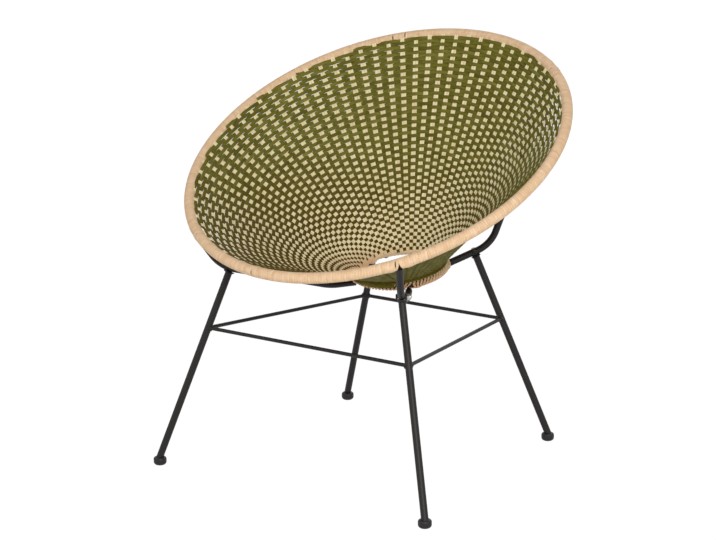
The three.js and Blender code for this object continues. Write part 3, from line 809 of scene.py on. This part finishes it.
def cap_lofts(foot):
    """A moulded foot cap, round at its shoulder and its foot, with a lip where the leg goes in."""
    recess = CAP_RADIUS - CAP_RECESS_FROM_SIDE
    profile = [(AXIS_RING, CAP_RECESS_DEPTH), (recess, CAP_RECESS_DEPTH), (recess + CAP_RECESS_EDGE, 0)]
    for turn in np.linspace(0, math.pi / 2, CAP_BOTTOM_STEPS):
        profile.append((CAP_RADIUS - CAP_BOTTOM_ROUND * (1 - math.sin(turn)),
                        CAP_BOTTOM_ROUND * (1 - math.cos(turn))))
    for turn in np.linspace(0, math.pi / 2, ROUND_STEPS):
        profile.append((CAP_RADIUS - CAP_SHOULDER * (1 - math.cos(turn)),
                        CAP_HEIGHT - CAP_SHOULDER * (1 - math.sin(turn))))
    profile += [(TUBE_RADIUS + CAP_MOUTH_GAP, CAP_HEIGHT - CAP_MOUTH_EDGE),
                (AXIS_RING, CAP_HEIGHT - CAP_MOUTH_DEPTH)]
    rings = turned_rings(profile, points_round=CAP_POINTS)
    upright = rings[..., [0, 2, 1]] * [1, -1, 1]
    return [upright + [foot[0], foot[1], 0]]


def stretcher_lofts(start, end):
    """A rod welded between two legs' middles, with a fillet at each."""
    length = np.linalg.norm(end - start)
    rises, radii = fillet(STRETCHER_RADIUS)
    near = np.concatenate([[TUBE_RADIUS - STRETCHER_EMBED], TUBE_RADIUS - WELD_EMBED + rises])
    near_radii = np.concatenate([[radii[0]], radii])
    stations = np.concatenate([near, length - near[::-1]])
    return [straight_rod(start, end, stations, np.concatenate([near_radii, near_radii[::-1]]))]


def set_camera():
    """The photograph's view, and colours shown as they are written."""
    scene = bpy.context.scene
    scene.view_settings.view_transform = "Standard"
    camera = bpy.data.objects.new("camera", bpy.data.cameras.new("camera"))
    scene.collection.objects.link(camera)
    scene.camera = camera
    camera.data.sensor_width = SENSOR_WIDTH
    camera.data.lens = SENSOR_WIDTH * FOCAL_LENGTH_PIXELS / PICTURE_WIDTH_PIXELS
    turn = (
        Matrix.Rotation(math.radians(CAMERA_AZIMUTH), 4, "Z")
        @ Matrix.Rotation(math.radians(90 - CAMERA_ELEVATION), 4, "X")
        @ Matrix.Rotation(math.radians(CAMERA_ROLL), 4, "Z")
    )
    camera.matrix_world = Matrix.Translation(CAMERA_PLACE) @ turn


def seen_rays(tree):
    """1 for the rays that see the ground, straight or in gloss, and 0 for those that light the chair."""
    rays = add(tree, "ShaderNodeLightPath")
    seen = rays.outputs["Is Camera Ray"]
    for kind in ("Is Glossy Ray", "Is Transmission Ray"):
        seen = add(tree, "ShaderNodeMath", {0: seen, 1: rays.outputs[kind]}, operation="MAXIMUM").outputs[0]
    return seen


def lay_white_ground():
    """A white sweep: soft air all round, and paper whose floor keeps the chair's soft shadow."""
    world = bpy.data.worlds.new("studio_air")
    world.use_nodes = True
    bpy.context.scene.world = world
    tree = world.node_tree
    tree.nodes.clear()
    air = add(tree, "ShaderNodeBackground", Color=linear("#FFFFFF"), Strength=AIR_STRENGTH)
    white = add(tree, "ShaderNodeBackground", Color=linear("#FFFFFF"), Strength=1)
    mix = add(tree, "ShaderNodeMixShader", {"Fac": seen_rays(tree), 1: air.outputs[0], 2: white.outputs[0]})
    add(tree, "ShaderNodeOutputWorld", {"Surface": mix.outputs[0]})

    floor_mesh = bpy.data.meshes.new("floor")
    corners = [(x * FLOOR_REACH, y * FLOOR_REACH, 0) for x, y in ((-1, -1), (1, -1), (1, 1), (-1, 1))]
    floor_mesh.from_pydata(corners, [], [(0, 1, 2, 3)])
    floor = bpy.data.objects.new("floor", floor_mesh)
    bpy.context.scene.collection.objects.link(floor)
    material, tree = new_material("white_sweep_paper")
    paper = add(tree, "ShaderNodeBsdfDiffuse", Color=linear("#F7F7F7"))
    glow = add(tree, "ShaderNodeEmission", Color=linear("#FFFFFF"), Strength=PAPER_GLOW)
    amount = add(tree, "ShaderNodeMath", {0: seen_rays(tree)}, {1: PAPER_GLOW_SHARE}, operation="MULTIPLY")
    mix = add(tree, "ShaderNodeMixShader",
              {"Fac": amount.outputs[0], 1: paper.outputs[0], 2: glow.outputs[0]})
    add(tree, "ShaderNodeOutputMaterial", {"Surface": mix.outputs[0]})
    floor_mesh.materials.append(material)


def hang_lamps():
    """Soft boxes round the chair, all turned to its middle."""
    for name, (place_at, size, watts) in LAMPS.items():
        light = bpy.data.lights.new(name, "AREA")
        light.size = size
        light.energy = watts
        lamp = bpy.data.objects.new(name, light)
        lamp.location = place_at
        lamp.rotation_euler = (LAMPS_AIM - lamp.location).to_track_quat("-Z", "Y").to_euler()
        bpy.context.scene.collection.objects.link(lamp)


def grained_skin(name, colour, roughness, grain_size, bump_height,
                 metallic=0, drift_colour=None, gloss=0.5):
    """A hard finish with a fine grain, and where drift_colour is given a slow drift towards it."""
    material, tree = new_material(name)
    places = add(tree, "ShaderNodeTexCoord").outputs["Object"]
    grain = add(tree, "ShaderNodeTexNoise", {"Vector": places}, Scale=1 / grain_size, Detail=2)
    bump = add(tree, "ShaderNodeBump", {"Height": grain.outputs["Fac"]}, Strength=0.3, Distance=bump_height)
    drift = add(tree, "ShaderNodeTexNoise", {"Vector": places}, Scale=1 / STREAK_SIZE, Detail=3)
    tint = add(tree, "ShaderNodeMix", {"Factor": drift.outputs["Fac"]},
               {6: linear(colour), 7: linear(drift_colour or colour)}, data_type="RGBA")
    skin = add(tree, "ShaderNodeBsdfPrincipled", {"Normal": bump.outputs[0], "Base Color": tint.outputs[2]},
               Roughness=roughness, Metallic=metallic, Specular_IOR_Level=gloss)
    add(tree, "ShaderNodeOutputMaterial", {"Surface": skin.outputs[0]})
    return material


def strand_material(name, dark, middle, light, drift_length, gloss,
                    shade_colour=None, shade_heights=(0, 0), all_round=True):
    """Extruded flat plastic cane: fine grooves along it, and a colour that drifts from stretch to stretch.

    Where a shade colour is given, the cane is painted darker towards the bottom, taking it gradually from
    the first of
    the shade heights down to the second: painted shade, all round, or else only on the faces that look up,
    while what faces down keeps its own colour.
    """
    material, tree = new_material(name)
    lay = add(tree, "ShaderNodeUVMap", uv_map="lay").outputs[0]
    grooved = add(tree, "ShaderNodeMapping", {"Vector": lay},
                  Scale=(1 / GROOVE_LENGTH, 1 / GROOVE_PITCH, 1))
    grain = add(tree, "ShaderNodeTexNoise", {"Vector": grooved.outputs[0]}, Scale=1, Detail=3)
    drifting = add(tree, "ShaderNodeMapping", {"Vector": lay}, Scale=(1 / drift_length, DRIFT_PER_WIDTH, 1))
    drift = add(tree, "ShaderNodeTexNoise", {"Vector": drifting.outputs[0]}, Scale=1, Detail=2)
    both = add(tree, "ShaderNodeMath", {0: grain.outputs["Fac"], 1: drift.outputs["Fac"]}, operation="ADD")
    half = add(tree, "ShaderNodeMath", {0: both.outputs[0]}, {1: 0.5}, operation="MULTIPLY")
    ramp = add(tree, "ShaderNodeValToRGB", {"Fac": half.outputs[0]})
    ramp.color_ramp.elements[0].position = DARK_AT
    ramp.color_ramp.elements[0].color = linear(dark)
    ramp.color_ramp.elements[1].position = LIGHT_AT
    ramp.color_ramp.elements[1].color = linear(light)
    ramp.color_ramp.elements.new(0.5).color = linear(middle)
    bump = add(tree, "ShaderNodeBump", {"Height": grain.outputs["Fac"]},
               Strength=0.35, Distance=GROOVE_DEPTH)
    colour = ramp.outputs[0]
    if shade_colour:
        places = add(tree, "ShaderNodeTexCoord").outputs["Object"]
        spot = add(tree, "ShaderNodeSeparateXYZ", {"Vector": places})
        lowness = add(tree, "ShaderNodeMapRange", {"Value": spot.outputs["Z"]},
                      {"From Min": shade_heights[0], "From Max": shade_heights[1]}, clamp=True)
        facing = add(tree, "ShaderNodeNewGeometry").outputs["Normal"]
        face = add(tree, "ShaderNodeSeparateXYZ", {"Vector": facing})
        shade_facing = {"From Min": SHADE_FACING_UP[0], "From Max": SHADE_FACING_UP[1], "To Min": 1 if all_round else 0}
        upward = add(tree, "ShaderNodeMapRange", {"Value": face.outputs["Z"]}, shade_facing, clamp=True)
        # Painted shade: the cane turns darker and browner low down, on the chosen faces
        painted_shade = add(tree, "ShaderNodeMath",
                   {0: lowness.outputs[0], 1: upward.outputs[0]}, operation="MULTIPLY")
        colour = add(tree, "ShaderNodeMix", {"Factor": painted_shade.outputs[0], 6: colour}, {7: linear(shade_colour)},
                     data_type="RGBA").outputs[2]
    skin = add(tree, "ShaderNodeBsdfPrincipled", {"Base Color": colour, "Normal": bump.outputs[0]},
               Roughness=0.62, IOR=1.5, Specular_IOR_Level=gloss)
    add(tree, "ShaderNodeOutputMaterial", {"Surface": skin.outputs[0]})
    return material


set_camera()
lay_white_ground()
hang_lamps()

# Extruded polyethylene cane, dyed through: satin and finely grooved, and a little uneven from stretch to
# stretch. The real grooves are about 0.3 mm apart and are drawn coarser, so that they show
# Towards the bottom and round the base hoop it is painted darker and warmer: painted shade
natural = strand_material("natural_cane_strand", "#DAC897", "#E8DAAC", "#F1E8C2", 90 * MM, 0.24,
                          "#D6AC84", (365 * MM, 330 * MM))
# The olive one is painted browner and darker on its upward faces low in the seat: painted shade deep in the
# bowl
green = strand_material("olive_cane_strand", "#544F1A", "#686323", "#7F7A3A", 60 * MM, 0.08,
                        "#543E13", (540 * MM, 370 * MM), all_round=False)
# The same cane below the seat, without the olive one's painted shade
green_below = strand_material("olive_cane_strand_below", "#544B15", "#685E1D", "#7F7533", 60 * MM, 0.08)
# A warmer natural cane round the rim
rim_cane = strand_material("rim_cane_strand", "#D3AB81", "#E2C09A", "#EDD2B3", 45 * MM, 0.22)
# Steel under powder coat, baked on: satin black with a fine orange peel
coat = grained_skin("black_powder_coat", "#1B1716", 0.5, 1.2 * MM, 0.1 * MM,
                    drift_colour="#211C1B", gloss=0.26)
# Moulded polypropylene caps: dull black with a spark-eroded grain of about 0.1 mm, drawn coarser to show
plastic = grained_skin("moulded_black_plastic", "#1B1919", 0.55, 0.6 * MM, 0.08 * MM, gloss=0.33)
# Zinc plate on the nuts: a bright, soft shine with darker streaks
zinc = grained_skin("zinc_plated_steel", "#CFCCC8", 0.46, 0.8 * MM, 0.03 * MM,
                    metallic=1, drift_colour="#A9A6A2")
# Black oxide on the bolts: thin and dark, so the steel still shines through
oxide = grained_skin("black_oxide_steel", "#1E1D1D", 0.4, 0.8 * MM, 0.03 * MM, metallic=0.6)

arms = {name: lay_out_arm(arm, side) for name, (arm, side, _, _) in CORNERS.items()}
legs = {name: lay_out_leg(foot, height, arms[name]) for name, (_, _, foot, height) in CORNERS.items()}

base_partings = [
    arm_parting(base, line[0], line[0] + unit(line[1] - line[0]) * ARM_WAY_SAMPLE, BASE_ARM_GAP)
    for line in (arm["line"] for arm in arms.values())
]
base_partings.append(parting_at(BASE_PILE_AT, BASE_PILE))
rim_partings = [arm_parting(rim, arm["rim_at"], arm["rim_seat"], RIM_ARM_GAP) for arm in arms.values()]
rim_partings += [parting_at(join, RIM_JOIN_GAP) for join in RIM_JOINS_AT]

for sector, name in enumerate(WEAVE_SECTORS):
    first, last = (round(SPOKE_COUNT * share / len(WEAVE_SECTORS)) for share in (sector, sector + 1))
    place(f"spokes_{name}", spoke_runs(range(first, last), base_partings),
          natural, "natural_strand", "woven_seat", "base_binding")
rows = weft_runs()
lengths_so_far = np.cumsum([len(rings) for rings in rows])
band_of_row = (lengths_so_far - 1) * len(WEFT_BANDS) // lengths_so_far[-1]
for band, name in enumerate(WEFT_BANDS):
    band_rows = [rings for rings, its_band in zip(rows, band_of_row) if its_band == band]
    place(f"weft_{name}", band_rows, green, "green_strand", "woven_seat")
place("weft_locking", locking_runs(), green_below, "green_strand", "woven_seat")

rim_turns = round(TURN * rim["radius"] / RIM_STRAND_WIDTH)
place("rim_winding", [rim_winding_run(rim_turns, rim_partings)], rim_cane, "natural_strand", "rim_binding")
place("rim_tube", [hoop_tube(rim)], coat, "powder_coat", "rim_hoop", closed=True)
place("base_tube", [hoop_tube(base)], coat, "powder_coat", "base_hoop", closed=True)

for name, (_, _, foot, _) in CORNERS.items():
    arm, leg = arms[name], legs[name]
    arm_tube = rod_rings(arm["line"], TUBE_RADIUS, arm["level"])
    for kind, lofts, material, slot, node, crease in (
        ("bent_arm", [arm_tube], coat, "powder_coat", "arm", 50),
        ("leg_tube", leg_lofts(leg, arm), coat, "powder_coat", "leg", 50),
        ("moulded_cap", cap_lofts(foot), plastic, "cap_plastic", "foot_cap", 40),
        ("bracket", bracket_lofts(arm), coat, "powder_coat", "leg_bracket", 30),
        ("button_bolt", bolt_lofts(arm), oxide, "bolt_black", "bolt", 30),
        ("zinc_nut", nut_lofts(arm), zinc, "zinc_plate", "cap_nut", 30),
    ):
        place(f"{kind}_{name}", lofts, material, slot, f"{node}_{name}", crease_degrees=crease)

for name, corners in STRETCHERS.items():
    start, end = (legs[corner]["stretchers_at"] for corner in corners)
    place(f"welded_stretcher_{name}", stretcher_lofts(start, end),
          coat, "powder_coat", f"stretcher_{name}", crease_degrees=50)
